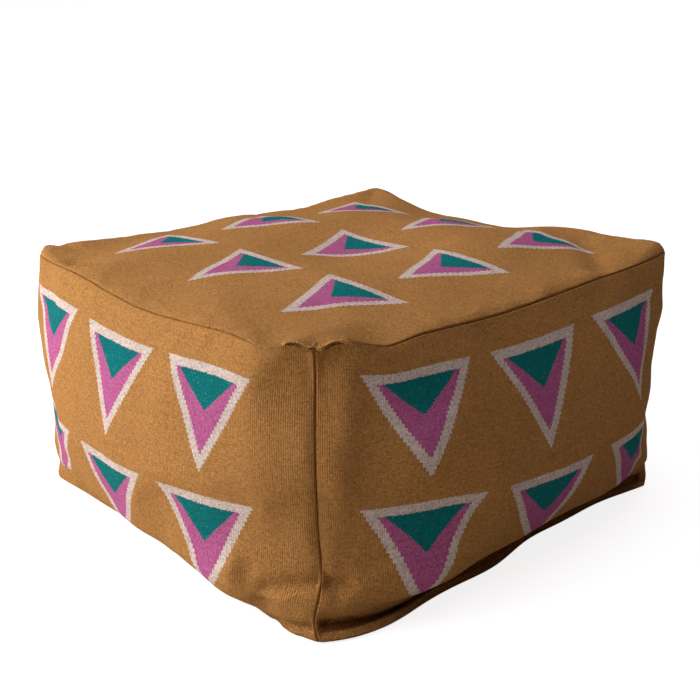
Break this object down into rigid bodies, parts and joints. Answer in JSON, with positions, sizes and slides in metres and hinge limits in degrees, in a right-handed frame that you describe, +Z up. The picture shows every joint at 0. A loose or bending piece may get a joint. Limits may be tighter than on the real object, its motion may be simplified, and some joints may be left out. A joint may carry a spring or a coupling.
{
  "type": "square floor pouf",
  "caption": "Square floor pouf: soft flat-woven cover with crowned top, bulging sides and sewn corners, a zip hidden under the base, over a lined loose fill.",
  "frame": {"origin": "on the floor under the middle of the pouf", "axes": "+Z up, front face to -Y, left face to -X, zip along X under the base"},
  "size_m": [0.7202, 0.7202, 0.35],
  "materials": {
    "woven_cloth": "flat-woven ochre wool and cotton with cream, magenta and teal triangles",
    "base_cloth": "plain ochre cotton canvas",
    "thread": "ochre sewing thread",
    "zip_tape": "woven ochre zip tape",
    "zip_teeth": "moulded ochre plastic teeth",
    "zip_metal": "dull brass",
    "lining": "unbleached cotton",
    "beads": "loose white foam beads"
  },
  "bodies": {
    "cover": {"top_panel": "woven_cloth", "front_panel": "woven_cloth", "right_panel": "woven_cloth", "back_panel": "woven_cloth", "left_panel": "woven_cloth", "base_panel_front": "base_cloth", "base_panel_back": "base_cloth", "top_seam_thread": "thread", "corner_seam_thread": "thread", "base_seam_thread": "thread", "zip_stitching": "thread", "zip_tape_front": "zip_tape", "zip_tape_back": "zip_tape", "zip_teeth_front": "zip_teeth", "zip_teeth_back": "zip_teeth", "zip_top_stops": "zip_metal", "zip_bottom_stop": "zip_metal", "liner_top": "lining", "liner_band": "lining", "liner_base": "lining", "bead_fill": "beads"},
    "slider": {"zip_slider": "zip_metal"},
    "pull": {"zip_pull": "zip_metal"}
  },
  "joints": [
    {"name": "zip_slide", "type": "slide", "parent": "cover", "child": "slider", "axis": [-1, 0, 0], "range_m": [0, 0.424]},
    {"name": "pull_hinge", "type": "hinge", "parent": "slider", "child": "pull", "pos_m": [0.2125, 0, 0.0057], "axis": [0, -1, 0], "range_deg": [0, 180]}
  ]
}
